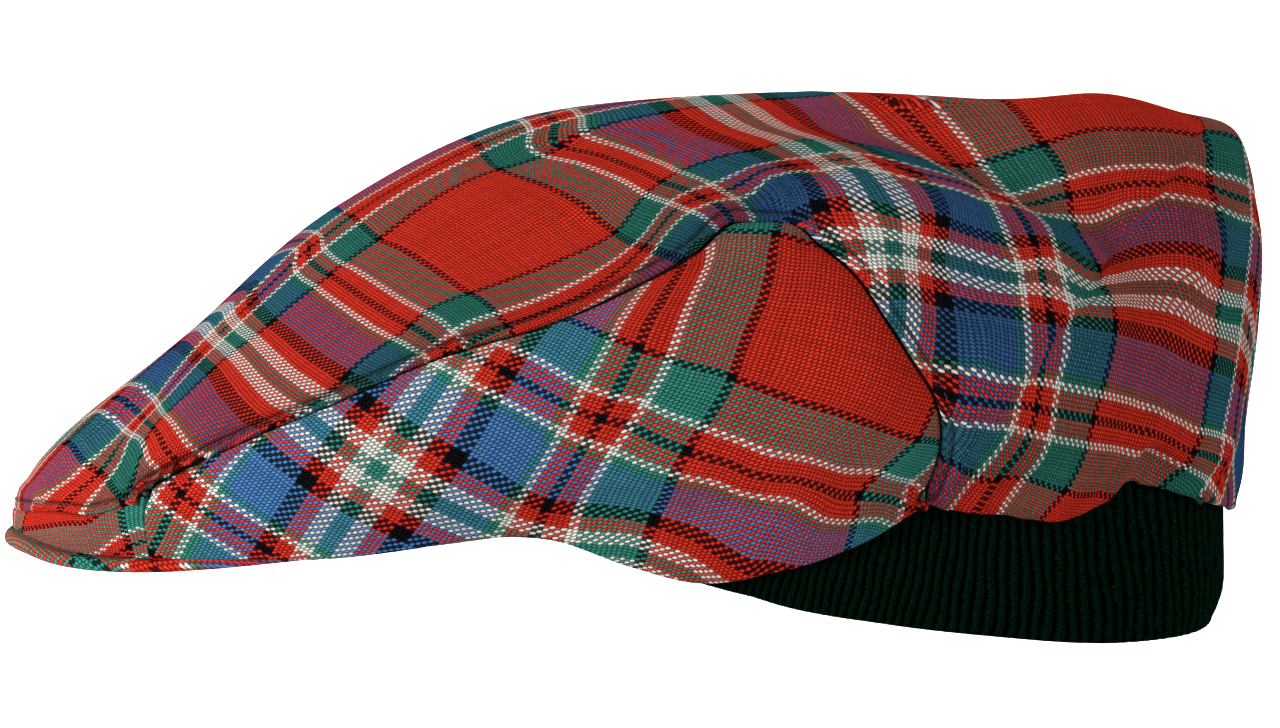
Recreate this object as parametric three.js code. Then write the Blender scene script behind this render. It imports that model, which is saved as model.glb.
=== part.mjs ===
// Flat cap with a knitted ear flap, built as five cloth walls and a stiff visor.
// Millimetres, +Z up. The origin is the centre of the head opening, in the plane of the crown's rim.
// The visor points towards -Y, the back of the cap towards +Y, and the wearer's left is +X.
//
// The crown is one smooth surface over a unit disc. A place on it is an azimuth, in degrees from
// the front round to the back, and a level, from 0 at the hem to 1 at the top of the crown.

import * as THREE from 'three';

// Driving sizes
const clothThickness = 2;
const seamGap = 0.5;
const crownReach = 160; // length of a line up the crown, from hem to top
const seamGroove = { depth: 1.6, width: 5 };
const visor = {
  thickness: 3.2, edgeThickness: 1.9, endAzimuth: 67, tipHeight: -8.4, rise: 0.098, droop: 0.00133,
};
const opening = { front: 101, halfWidth: 77 };
const knit = { thickness: 3.2, ribPitch: 2.9, ribDepth: 0.9, topHeight: 14, startAzimuth: 76, inset: 3.1 };

// How finely each wall is divided
const seamSteps = 30;
const hemSteps = 14;
const halfSteps = 14;
const sideRows = 8;
const bandRows = 2;
const foldSteps = 16;
const visorColumns = 28;
const visorRows = 6;
const knitRows = 2;

// The crown's rings, from the hem up. Reach is from the origin, and height is at the front,
// the side and the back. Square is the ring's exponent, before and behind, and follow is how much
// of the hem's rise and fall the ring takes up.
const rings = [
  {
    level: 0.0, front: 160, back: 108, half: 82.5, middle: 0, follow: 1,
    frontZ: -3, sideZ: -3, backZ: -3, squareFront: 2.5, squareBack: 2.2,
  },
  {
    level: 0.07, front: 158, back: 110.5, half: 90, middle: 2, follow: 0.6,
    frontZ: 3.2, sideZ: 7, backZ: 9, squareFront: 2.5, squareBack: 2.25,
  },
  {
    level: 0.2, front: 150.8, back: 111.5, half: 96, middle: 6, follow: 0.1,
    frontZ: 11.1, sideZ: 27, backZ: 40, squareFront: 2.4, squareBack: 2.3,
  },
  {
    level: 0.42, front: 121.5, back: 111, half: 89, middle: 10, follow: 0,
    frontZ: 35.6, sideZ: 59, backZ: 70, squareFront: 2.3, squareBack: 2.4,
  },
  {
    level: 0.62, front: 90, back: 95, half: 63, middle: 12, follow: 0,
    frontZ: 62.9, sideZ: 78, backZ: 84, squareFront: 2.2, squareBack: 2.3,
  },
  {
    level: 0.8, front: 49, back: 59, half: 33, middle: 13, follow: 0,
    frontZ: 82.6, sideZ: 86.5, backZ: 86.2, squareFront: 2.05, squareBack: 2.1,
  },
  {
    level: 1.0, front: -14, back: 14, half: 0, middle: 14, follow: 0,
    frontZ: 88.2, sideZ: 88.2, backZ: 88.2, squareFront: 2, squareBack: 2,
  },
];

// Height of the hem round the cap: flat on the visor, lowest over the ear, gathered at the back.
const hem = [
  { azimuth: 0, height: -7.8 },
  { azimuth: 20, height: -8 },
  { azimuth: 35, height: -9.1 },
  { azimuth: 45, height: -9.3 },
  { azimuth: 52, height: -8.8 },
  { azimuth: 59, height: -8.3 },
  { azimuth: 65, height: -6.2 },
  { azimuth: 70, height: -3.8 },
  { azimuth: 76, height: -4.6 },
  { azimuth: 81, height: -9.8 },
  { azimuth: 86, height: -13.2 },
  { azimuth: 91, height: -12.4 },
  { azimuth: 96, height: -9.2 },
  { azimuth: 101, height: -5.0 },
  { azimuth: 108, height: 1.4 },
  { azimuth: 117, height: 0.8 },
  { azimuth: 126, height: -0.3 },
  { azimuth: 131, height: 2.2 },
  { azimuth: 135, height: 6.0 },
  { azimuth: 139, height: 5.2 },
  { azimuth: 153, height: 1.0 },
  { azimuth: 180, height: -3.3 },
];

// The seam between the top panel and a side panel, from the front corner back to the hem.
const sideSeam = [
  { azimuth: 41.2, level: 0.104 },
  { azimuth: 46, level: 0.156 },
  { azimuth: 55.2, level: 0.219 },
  { azimuth: 63.5, level: 0.279 },
  { azimuth: 70.2, level: 0.305 },
  { azimuth: 75, level: 0.335 },
  { azimuth: 80.8, level: 0.388 },
  { azimuth: 84.2, level: 0.438 },
  { azimuth: 87.8, level: 0.445 },
  { azimuth: 92, level: 0.403 },
  { azimuth: 96, level: 0.357 },
  { azimuth: 99.8, level: 0.295 },
  { azimuth: 103.5, level: 0.236 },
  { azimuth: 106.8, level: 0.179 },
  { azimuth: 108.3, level: 0.13 },
  { azimuth: 108.8, level: 0.02 },
];

// The front band's upper edge, from the middle of the front to the front corner.
const frontSeam = [
  { azimuth: 0, level: 0.036 },
  { azimuth: 20, level: 0.047 },
  { azimuth: 28, level: 0.054 },
  { azimuth: 37, level: 0.062 },
  { azimuth: 40, level: 0.08 },
  { azimuth: 41.2, level: 0.104 },
];

// Azimuths of the seams' ends on the hem, and the angle left open between two panels there
const frontCornerHem = 43;
const sideHemEnd = 109;
const backCorner = 150;
const hemSeamAngle = 0.3;

// Folds in the cloth: a ridge or, below zero, a valley. Each runs along a bent line through three
// places, given as azimuth and level.
const folds = [
  { name: 'roll, rising', width: 12, height: 3.5, places: [[77.8, 0.375], [79.5, 0.49], [87, 0.558]] },
  { name: 'shoulder roll', width: 12, height: 4.5, places: [[86, 0.558], [106, 0.472], [127.7, 0.245]] },
  { name: 'valley behind roll', width: 11, height: -5, places: [[100, 0.66], [112, 0.49], [133, 0.287]] },
  { name: 'back pouch', width: 24, height: 4, places: [[142, 0.66], [134, 0.42], [141, 0.26]] },
  { name: 'side bulge', width: 22, height: 3, places: [[88, 0.36], [97, 0.25], [103, 0.16]] },
  { name: 'rear bulge', width: 20, height: 3, places: [[112, 0.3], [120, 0.16], [122, 0.08]] },
  { name: 'back slack', width: 14, height: -3, places: [[152, 0.245], [141, 0.16], [135, 0.1]] },
  { name: 'gather pocket', width: 7, height: -2.6, places: [[135.5, 0], [137, 0.038], [142, 0.034]] },
  { name: 'gather ridge', width: 6, height: 2.5, places: [[133.5, 0.02], [133.5, 0.082], [144, 0.068]] },
  { name: 'gathered lobes', width: 7, height: -2, places: [[117, 0], [117, 0.05], [120, 0.09]] },
  { name: 'ear valley', width: 8, height: -2.5, places: [[77, 0.048], [84, 0.053], [90, 0.02]] },
  { name: 'ear roll', width: 7, height: 1.5, places: [[77.5, 0.01], [83, 0.027], [89, 0.008]] },
  { name: 'pucker over the ear', width: 9, height: 2, places: [[85, 0.11], [92, 0.085], [103, 0.03]] },
  { name: 'pucker shadow', width: 7, height: -1.5, places: [[85, 0.075], [92, 0.055], [99, 0.015]] },
  { name: 'front shoulder', width: 14, height: 2.2, places: [[41, 0.13], [39.5, 0.26], [44, 0.42]] },
  { name: 'dip on the crown', width: 13, height: -1.1, places: [[136, 0.77], [158, 0.8], [-158, 0.8]] },
  { name: 'upper rise', width: 8, height: 1.4, places: [[142, 0.7], [166, 0.722], [-166, 0.72]] },
  { name: 'upper dip', width: 7.5, height: -1.1, places: [[146, 0.6], [170, 0.62], [-168, 0.61]] },
  { name: 'back shoulder', width: 8, height: 1.4, places: [[150, 0.5], [170, 0.522], [-170, 0.52]] },
  { name: 'middle dip', width: 10, height: -1.3, places: [[152, 0.37], [170, 0.375], [-170, 0.37]] },
  { name: 'middle rise', width: 12, height: 0.8, places: [[154, 0.23], [170, 0.225], [-170, 0.22]] },
  { name: 'nose roll', width: 5, height: 1.3, places: [[-22, 0.03], [0, 0.028], [22, 0.03]] },
  { name: 'dip over the hem', width: 9, height: -2, places: [[157, 0.085], [170, 0.09], [-170, 0.09]] },
];

// The visor's edge stands out past the hem in front, and lies inside it at the temples.
const visorOverhang = [
  { azimuth: 0, out: 2 },
  { azimuth: 44, out: 1.2 },
  { azimuth: 55, out: -3.4 },
  { azimuth: 75, out: -3.6 },
];

// Lower edge of the knitted flap.
const knitHem = [
  { azimuth: 70, height: -1 },
  { azimuth: 76, height: -3.6 },
  { azimuth: 81, height: -8.5 },
  { azimuth: 86, height: -12.6 },
  { azimuth: 92, height: -15.8 },
  { azimuth: 106, height: -21 },
  { azimuth: 120, height: -24.5 },
  { azimuth: 131, height: -26.5 },
  { azimuth: 150, height: -27.2 },
  { azimuth: 180, height: -27 },
];

const tartanCloth = new THREE.MeshStandardMaterial({ color: '#a5362c', roughness: 0.9, metalness: 0 });
const sideCloth = new THREE.MeshStandardMaterial({ color: '#a5362c', roughness: 0.9, metalness: 0 });
const bandCloth = new THREE.MeshStandardMaterial({ color: '#a5362c', roughness: 0.9, metalness: 0 });
const visorCloth = new THREE.MeshStandardMaterial({ color: '#8d3a33', roughness: 0.9, metalness: 0 });
const ribKnit = new THREE.MeshStandardMaterial({ color: '#05201a', roughness: 0.95, metalness: 0 });

// --- Curves through tables ------------------------------------------------------------------

// Slope of a smooth curve at each row of a table.
function slopesOf(keys, values) {
  return values.map((value, i) => {
    if (i === 0) return (values[1] - value) / (keys[1] - keys[0]);
    if (i === values.length - 1) return (value - values[i - 1]) / (keys[i] - keys[i - 1]);
    const before = keys[i] - keys[i - 1];
    const after = keys[i + 1] - keys[i];
    const slopeBefore = (value - values[i - 1]) / before;
    const slopeAfter = (values[i + 1] - value) / after;
    return (slopeBefore * after + slopeAfter * before) / (before + after);
  });
}

// Value of a smooth curve through the rows of a table.
function curveAt(keys, values, at) {
  const slopes = slopesOf(keys, values);
  const place = THREE.MathUtils.clamp(at, keys[0], keys[keys.length - 1]);
  let i = 0;
  while (i < keys.length - 2 && place >= keys[i + 1]) i += 1;
  const span = keys[i + 1] - keys[i];
  const t = (place - keys[i]) / span;
  const start = (2 * t ** 3 - 3 * t ** 2 + 1) * values[i] + (t ** 3 - 2 * t ** 2 + t) * span * slopes[i];
  const end = (3 * t ** 2 - 2 * t ** 3) * values[i + 1] + (t ** 3 - t ** 2) * span * slopes[i + 1];
  return start + end;
}

function tableAt(table, keyName, valueName, at) {
  return curveAt(table.map((row) => row[keyName]), table.map((row) => row[valueName]), at);
}

// Evenly spaced points on a smooth path through points of the disc.
function smoothPath(points, steps) {
  const along = [0];
  for (let i = 1; i < points.length; i += 1) along.push(along[i - 1] + points[i].distanceTo(points[i - 1]));
  const total = along[along.length - 1];
  const path = [];
  for (let i = 0; i <= steps; i += 1) {
    const at = (total * i) / steps;
    const a = curveAt(along, points.map((point) => point.x), at);
    const b = curveAt(along, points.map((point) => point.y), at);
    path.push(new THREE.Vector2(a, b));
  }
  return path;
}

// --- The crown's surface ---------------------------------------------------------------------

function discPoint(azimuth, level) {
  const angle = THREE.MathUtils.degToRad(azimuth);
  return new THREE.Vector2((1 - level) * Math.sin(angle), -(1 - level) * Math.cos(angle));
}

function discPlace(point) {
  const azimuth = THREE.MathUtils.radToDeg(Math.atan2(point.x, -point.y));
  const level = THREE.MathUtils.clamp(1 - point.length(), 0, 1);
  return { azimuth, level };
}

// A ring's shape in plan: an ellipse with its own front and back reach, slightly squared.
function ringPlan(ring, azimuth) {
  const sine = Math.sin(THREE.MathUtils.degToRad(azimuth));
  const cosine = Math.cos(THREE.MathUtils.degToRad(azimuth));
  const square = cosine > 0 ? ring.squareFront : ring.squareBack;
  const radius = 1 / (Math.abs(sine) ** square + Math.abs(cosine) ** square) ** (1 / square);
  const reach = cosine > 0 ? ring.front + ring.middle : ring.back - ring.middle;
  return new THREE.Vector2(ring.half * radius * sine, ring.middle - reach * radius * cosine);
}

function ringPoint(ring, azimuth) {
  const plan = ringPlan(ring, azimuth);
  const cosine = Math.cos(THREE.MathUtils.degToRad(azimuth));
  const endZ = cosine > 0 ? ring.frontZ : ring.backZ;
  const rise = tableAt(hem, 'azimuth', 'height', Math.abs(azimuth)) - rings[0].sideZ;
  const height = ring.sideZ + (endZ - ring.sideZ) * cosine ** 2 + ring.follow * rise;
  return new THREE.Vector3(plan.x, plan.y, height);
}

function smoothCrown(point) {
  const { azimuth, level } = discPlace(point);
  const levels = rings.map((ring) => ring.level);
  const across = rings.map((ring) => ringPoint(ring, azimuth));
  const x = curveAt(levels, across.map((place) => place.x), level);
  const y = curveAt(levels, across.map((place) => place.y), level);
  const z = curveAt(levels, across.map((place) => place.z), level);
  return new THREE.Vector3(x, y, z);
}

// The outward direction of a surface over the disc, from its slope each way.
function outwardAt(surface, point) {
  const step = 0.004;
  const alongA = surface(new THREE.Vector2(point.x + step, point.y));
  alongA.sub(surface(new THREE.Vector2(point.x - step, point.y)));
  const alongB = surface(new THREE.Vector2(point.x, point.y + step));
  alongB.sub(surface(new THREE.Vector2(point.x, point.y - step)));
  return alongA.cross(alongB).normalize();
}

const bell = (distance, width) => Math.exp(-((distance / width) ** 2));

// A fold's line as short steps in the disc, measured in millimetres.
function foldLine(fold) {
  return smoothPath(fold.places.map(([azimuth, level]) => discPoint(azimuth, level)), foldSteps);
}

const foldLines = folds.map(foldLine);
const seamPath = smoothPath(sideSeam.map((row) => discPoint(row.azimuth, row.level)), seamSteps);

function nearestOn(path, point) {
  let best = { distance: Infinity, along: 0 };
  path.forEach((place, i) => {
    const distance = place.distanceTo(point) * crownReach;
    if (distance < best.distance) best = { distance, along: i / (path.length - 1) };
  });
  return best;
}

// How far the folds and the sunken seam lift the cloth off the smooth crown.
function clothLift(point) {
  const half = new THREE.Vector2(Math.abs(point.x), point.y);
  let lift = -seamGroove.depth * bell(nearestOn(seamPath, half).distance, seamGroove.width);
  folds.forEach((fold, i) => {
    const { distance, along } = nearestOn(foldLines[i], half);
    const taper = 0.35 + 0.65 * Math.sin(Math.PI * along);
    lift += fold.height * taper * bell(distance, fold.width);
  });
  return lift;
}

function crownCloth(point) {
  return smoothCrown(point).addScaledVector(outwardAt(smoothCrown, point), clothLift(point));
}

// --- Walls -----------------------------------------------------------------------------------

// A closed wall between two grids of points with the same rows and columns.
function wallBetween(outer, inner) {
  const rows = outer.length;
  const columns = outer[0].length;
  const positions = [...outer.flat(), ...inner.flat()].flatMap((place) => place.toArray());
  const at = (side, row, column) => side * rows * columns + row * columns + column;
  const index = [];
  const quad = (a, b, c, d) => index.push(a, b, c, a, c, d);
  for (let i = 0; i < rows - 1; i += 1) {
    for (let j = 0; j < columns - 1; j += 1) {
      quad(at(0, i, j), at(0, i, j + 1), at(0, i + 1, j + 1), at(0, i + 1, j));
      quad(at(1, i, j), at(1, i + 1, j), at(1, i + 1, j + 1), at(1, i, j + 1));
    }
    quad(at(0, i + 1, 0), at(1, i + 1, 0), at(1, i, 0), at(0, i, 0));
    const last = columns - 1;
    quad(at(0, i + 1, last), at(0, i, last), at(1, i, last), at(1, i + 1, last));
  }
  for (let j = 0; j < columns - 1; j += 1) {
    quad(at(0, 0, j + 1), at(0, 0, j), at(1, 0, j), at(1, 0, j + 1));
    quad(at(0, rows - 1, j), at(0, rows - 1, j + 1), at(1, rows - 1, j + 1), at(1, rows - 1, j));
  }
  const geometry = new THREE.BufferGeometry();
  geometry.setAttribute('position', new THREE.Float32BufferAttribute(positions, 3));
  geometry.setIndex(facingOut(positions, index));
  return geometry;
}

// Turns every triangle round if the solid's signed volume comes out negative.
function facingOut(positions, index) {
  const corner = (i) => new THREE.Vector3().fromArray(positions, 3 * i);
  let volume = 0;
  for (let i = 0; i < index.length; i += 3) {
    volume += corner(index[i]).dot(corner(index[i + 1]).cross(corner(index[i + 2])));
  }
  if (volume >= 0) return index;
  return index.map((value, i) => index[i % 3 === 0 ? i : i % 3 === 1 ? i + 1 : i - 1]);
}

// A cloth wall over a grid of disc points.
function clothWall(grid) {
  const outer = grid.map((row) => row.map(crownCloth));
  const inner = grid.map((row, i) => row.map((point, j) => {
    const inward = outwardAt(crownCloth, point).multiplyScalar(-clothThickness);
    return outer[i][j].clone().add(inward);
  }));
  return wallBetween(outer, inner);
}

function named(name, geometry, material) {
  const mesh = new THREE.Mesh(geometry, material);
  mesh.name = name;
  return mesh;
}

// --- Panels in the disc ----------------------------------------------------------------------

const range = (count) => Array.from({ length: count + 1 }, (_, i) => i / count);

// The seam moved half a gap to one side: +1 towards the crown's middle, -1 towards the hem.
function seamShifted(side) {
  return seamPath.map((place, i) => {
    const before = seamPath[Math.max(i - 1, 0)];
    const after = seamPath[Math.min(i + 1, seamPath.length - 1)];
    const along = after.clone().sub(before).normalize();
    const aside = new THREE.Vector2(-along.y, along.x).multiplyScalar((side * seamGap) / 2 / crownReach);
    return place.clone().add(aside);
  });
}

function frontSeamPoint(share, shift) {
  const azimuth = frontSeam[frontSeam.length - 1].azimuth * share;
  const level = tableAt(frontSeam, 'azimuth', 'level', Math.abs(azimuth));
  return discPoint(azimuth, level + shift / crownReach);
}

// The top panel: rows run across the cap, from the front seam over the crown to the back hem.
// The first few rows ease from the front seam's line to an even sweep.
function topPanelGrid() {
  const edge = seamShifted(1);
  const hemStart = sideHemEnd + hemSeamAngle;
  for (let i = 1; i <= hemSteps; i += 1) {
    edge.push(discPoint(hemStart + ((backCorner - hemStart) * (i - 1)) / (hemSteps - 1), 0));
  }
  const last = edge.length - 1;
  const easedRows = 5;
  const front = frontSeamPoint(0, seamGap / 2).y;
  const rowPoint = (i, across) => {
    const middle = THREE.MathUtils.lerp(front, 1, i / last);
    return new THREE.Vector2(edge[i].x * across, THREE.MathUtils.lerp(middle, edge[i].y, across ** 2));
  };
  return edge.map((_, i) => range(2 * halfSteps).map((share) => {
    const across = 2 * share - 1;
    const ease = Math.max(0, 1 - i / easedRows);
    const toFront = frontSeamPoint(across, seamGap / 2).sub(rowPoint(0, across)).multiplyScalar(ease);
    const place = rowPoint(i, across).add(toFront);
    if (place.length() > 1 || i === last) place.normalize();
    return place;
  }));
}

// A side panel: columns run up from the hem to the seam.
function sidePanelGrid() {
  const seam = seamShifted(-1);
  return seam.map((top, i) => {
    const azimuth = THREE.MathUtils.lerp(frontCornerHem, sideHemEnd, i / seamSteps);
    return range(sideRows).map((share) => discPoint(azimuth, 0).lerp(top, share));
  });
}

function frontBandGrid() {
  const endAzimuth = frontCornerHem - hemSeamAngle;
  const seamShare = 0.99;
  return range(2 * halfSteps).map((share) => {
    const across = 2 * share - 1;
    const low = discPoint(endAzimuth * across, 0);
    const high = frontSeamPoint(across * seamShare, -seamGap / 2);
    return range(bandRows).map((rise) => low.clone().lerp(high, rise));
  });
}

const mirrored = (grid) => grid.map((row) => row.map((point) => new THREE.Vector2(-point.x, point.y)));

// --- The visor -------------------------------------------------------------------------------

function visorTopHeight(x, y) {
  return visor.tipHeight + visor.rise * (y + rings[0].front) - visor.droop * x ** 2;
}

function visorGeometry() {
  const top = [];
  const bottom = [];
  range(visorColumns).forEach((share) => {
    const azimuth = (2 * share - 1) * visor.endAzimuth;
    const angle = THREE.MathUtils.degToRad(azimuth);
    const out = tableAt(visorOverhang, 'azimuth', 'out', Math.abs(azimuth));
    const rim = ringPlan(rings[0], azimuth);
    const outer = rim.clone().setLength(rim.length() + out);
    const inner = new THREE.Vector2(opening.halfWidth * Math.sin(angle), -opening.front * Math.cos(angle));
    const rows = range(visorRows).map((rise) => inner.clone().lerp(outer, rise));
    const thickness = THREE.MathUtils.lerp(visor.edgeThickness, visor.thickness, Math.cos(angle) ** 2);
    top.push(rows.map((place) => new THREE.Vector3(place.x, place.y, visorTopHeight(place.x, place.y))));
    bottom.push(top[top.length - 1].map((place) => place.clone().setZ(place.z - thickness)));
  });
  return wallBetween(top, bottom);
}

// --- The knitted flap ------------------------------------------------------------------------

// Azimuths evenly spaced along the flap, two for each rib, from one temple round to the other.
function ribAzimuths() {
  const endAzimuth = 360 - knit.startAzimuth;
  const fine = range(720).map((share) => THREE.MathUtils.lerp(knit.startAzimuth, endAzimuth, share));
  const along = [0];
  for (let i = 1; i < fine.length; i += 1) {
    const step = ringPlan(rings[0], fine[i]).distanceTo(ringPlan(rings[0], fine[i - 1]));
    along.push(along[i - 1] + step);
  }
  const steps = 2 * Math.round(along[along.length - 1] / knit.ribPitch);
  return range(steps).map((share) => curveAt(along, fine, share * along[along.length - 1]));
}

function knitGeometry() {
  const outer = [];
  const inner = [];
  ribAzimuths().forEach((azimuth, i) => {
    const rim = ringPlan(rings[0], azimuth);
    const rib = i % 2 === 0 ? 0 : -knit.ribDepth;
    const outerPlan = rim.clone().setLength(rim.length() - knit.inset + rib);
    const depth = knit.inset + knit.thickness + rib + knit.ribDepth;
    const innerPlan = rim.clone().setLength(rim.length() - depth);
    const low = tableAt(knitHem, 'azimuth', 'height', 180 - Math.abs(180 - azimuth));
    const heights = range(knitRows).map((rise) => THREE.MathUtils.lerp(low, knit.topHeight, rise));
    outer.push(heights.map((height) => new THREE.Vector3(outerPlan.x, outerPlan.y, height)));
    inner.push(heights.map((height) => new THREE.Vector3(innerPlan.x, innerPlan.y, height)));
  });
  return wallBetween(outer, inner);
}

// --- The cap ---------------------------------------------------------------------------------

const cap = new THREE.Group();
cap.add(named('top_panel', clothWall(topPanelGrid()), tartanCloth));
cap.add(named('side_panel_left', clothWall(sidePanelGrid()), sideCloth));
cap.add(named('side_panel_right', clothWall(mirrored(sidePanelGrid())), sideCloth));
cap.add(named('front_band', clothWall(frontBandGrid()), bandCloth));
cap.add(named('visor', visorGeometry(), visorCloth));
cap.add(named('knit_band', knitGeometry(), ribKnit));

export default cap;
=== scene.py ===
import math
import bpy
import numpy as np
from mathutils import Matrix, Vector


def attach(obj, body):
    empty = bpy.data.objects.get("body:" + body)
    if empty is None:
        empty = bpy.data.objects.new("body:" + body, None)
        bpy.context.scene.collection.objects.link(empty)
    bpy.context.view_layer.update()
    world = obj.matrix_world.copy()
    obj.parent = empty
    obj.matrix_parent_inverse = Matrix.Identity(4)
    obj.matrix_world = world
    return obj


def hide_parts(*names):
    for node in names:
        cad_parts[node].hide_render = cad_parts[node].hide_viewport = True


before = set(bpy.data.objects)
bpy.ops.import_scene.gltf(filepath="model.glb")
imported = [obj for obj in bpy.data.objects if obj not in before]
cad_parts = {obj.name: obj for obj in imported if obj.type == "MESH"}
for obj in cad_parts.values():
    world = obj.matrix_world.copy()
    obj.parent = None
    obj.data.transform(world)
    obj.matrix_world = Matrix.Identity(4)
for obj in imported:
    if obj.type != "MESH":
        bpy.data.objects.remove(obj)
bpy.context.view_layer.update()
print("frame loaded")

# The crown is one smooth surface over a unit disc. A place on it is an azimuth, in degrees from the
# front round to the back, and a level, from 0 at the hem to 1 at the top. All sizes are millimetres.
reach = 160  # length of a line up the crown, which turns millimetres into disc units
headCentre = (0, 0, 20)
mirror = np.array([-1, 1, 1])

crownRings = {
    "level": [0, 0.07, 0.2, 0.42, 0.62, 0.8, 1],
    "front": [160, 158, 150.8, 121.5, 90, 49, -14],
    "back": [108, 110.5, 111.5, 111, 95, 59, 14],
    "half": [82.5, 90, 96, 89, 63, 33, 0],
    "middle": [0, 2, 6, 10, 12, 13, 14],
    "frontZ": [-3, 3.2, 11.1, 35.6, 62.9, 82.6, 88.2],
    "sideZ": [-3, 7, 27, 59, 78, 86.5, 88.2],
    "backZ": [-3, 9, 40, 70, 84, 86.2, 88.2],
    "squareFront": [2.5, 2.5, 2.4, 2.3, 2.2, 2.05, 2],
    "squareBack": [2.2, 2.25, 2.3, 2.4, 2.3, 2.1, 2],
    "follow": [1, 0.6, 0.1, 0, 0, 0, 0],  # how much of the hem's rise and fall the ring takes up
}
hem = {
    "azimuth": [0, 20, 35, 45, 52, 59, 65, 70, 76, 81, 86, 91, 96, 101, 108, 117, 126, 131, 135,
                139, 153, 180],
    "height": [-7.8, -8, -9.1, -9.3, -8.8, -8.3, -6.2, -3.8, -4.3, -9, -12.5, -11.1, -8.8, -5,
               1.4, 0.8, -0.3, 2.2, 6, 5.2, 1, -3.3],
}
sideSeam = [(41.2, 0.104), (46, 0.156), (55.2, 0.219), (63.5, 0.279), (70.2, 0.305), (75, 0.335),
            (80.8, 0.388), (84.2, 0.438), (87.8, 0.445), (92, 0.403), (96, 0.357), (99.8, 0.295),
            (103.5, 0.236), (106.8, 0.179), (108.3, 0.13), (108.8, 0.02)]
frontSeam = {"azimuth": [0, 20, 28, 37, 40, 41.2],
             "level": [0.036, 0.047, 0.054, 0.062, 0.08, 0.104]}
corners = {"frontHem": 43, "sideHem": 109, "back": 150, "clear": 0.3}


def slopesOf(keys, values):
    steps = np.diff(keys).reshape((-1,) + (1,) * (values.ndim - 1))
    rise = np.diff(values, axis=0) / steps
    inner = (rise[:-1] * steps[1:] + rise[1:] * steps[:-1]) / (steps[1:] + steps[:-1])
    return np.concatenate([rise[:1], inner, rise[-1:]])


# Smooth curve down a table's rows. Paired tables have a column for each place in at.
def curveAt(keys, values, at, paired=False):
    keys, values, at = (np.asarray(given, float) for given in (keys, values, at))
    at = np.clip(at, keys[0], keys[-1])
    i = np.clip(np.searchsorted(keys, at, side="right") - 1, 0, len(keys) - 2)
    own = tuple(np.indices(i.shape)) if paired else ()
    slopes = slopesOf(keys, values)
    low, high, slopeLow, slopeHigh = (table[(i + n,) + own]
                                      for table in (values, slopes) for n in (0, 1))
    span = (keys[i + 1] - keys[i]).reshape(i.shape + (1,) * (0 if paired else values.ndim - 1))
    t = (at - keys[i]).reshape(span.shape) / span
    return ((2 * t**3 - 3 * t**2 + 1) * low + (t**3 - 2 * t**2 + t) * span * slopeLow
            + (3 * t**2 - 2 * t**3) * high + (t**3 - t**2) * span * slopeHigh)


def discPoint(azimuth, level):
    angle = np.radians(azimuth)
    return np.stack([(1 - level) * np.sin(angle), -(1 - level) * np.cos(angle)], -1)


def ringPlan(k, azimuth):
    sine, cosine = np.sin(np.radians(azimuth)), np.cos(np.radians(azimuth))
    r = {name: column[k] for name, column in crownRings.items()}
    square = np.where(cosine > 0, r["squareFront"], r["squareBack"])
    radius = (np.abs(sine)**square + np.abs(cosine)**square)**(-1 / square)
    length = np.where(cosine > 0, r["front"] + r["middle"], r["back"] - r["middle"])
    return np.stack([r["half"] * radius * sine, r["middle"] - length * radius * cosine], -1)


def smoothCrown(place):
    azimuth = np.degrees(np.arctan2(place[..., 0], -place[..., 1]))
    level = np.clip(1 - np.hypot(place[..., 0], place[..., 1]), 0, 1)
    cosine = np.cos(np.radians(azimuth))
    rise = curveAt(hem["azimuth"], hem["height"], np.abs(azimuth)) - crownRings["sideZ"][0]
    rings = []
    for k, sideZ in enumerate(crownRings["sideZ"]):
        endZ = np.where(cosine > 0, crownRings["frontZ"][k], crownRings["backZ"][k])
        height = sideZ + (endZ - sideZ) * cosine**2 + crownRings["follow"][k] * rise
        rings.append([*np.moveaxis(ringPlan(k, azimuth), -1, 0), height])
    return np.stack([curveAt(crownRings["level"], [ring[axis] for ring in rings], level, paired=True)
                     for axis in range(3)], -1)


def unit(vectors):
    return vectors / np.maximum(np.linalg.norm(vectors, axis=-1, keepdims=True), 1e-9)


def outwardAt(surface, place, step=0.004):
    a, b = np.array([step, 0]), np.array([0, step])
    return unit(np.cross(surface(place + a) - surface(place - a),
                         surface(place + b) - surface(place - b)))


def pathLengths(points, axis=0):  # length so far along each line of points
    steps = np.linalg.norm(np.diff(points, axis=axis), axis=-1)
    return np.concatenate([0 * np.take(steps, [0], axis), np.cumsum(steps, axis)], axis)


def smoothPath(rows, steps):  # places along a line through rows of azimuth and level
    places = discPoint(*np.transpose(rows))
    along = pathLengths(places)
    return curveAt(along, places, np.linspace(0, along[-1], steps + 1))


def nearestOn(path, place):  # distance from a path, in millimetres, and how far along it is
    best = np.full(place.shape[:-1], np.inf)
    along = np.zeros(place.shape[:-1])
    for i in range(len(path) - 1):
        step = path[i + 1] - path[i]
        t = np.clip(((place - path[i]) @ step) / (step @ step), 0, 1)
        far = np.linalg.norm(place - path[i] - t[..., None] * step, axis=-1) * reach
        nearer = far < best
        best = np.where(nearer, far, best)
        along = np.where(nearer, (i + t) / (len(path) - 1), along)
    return best, along


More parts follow.
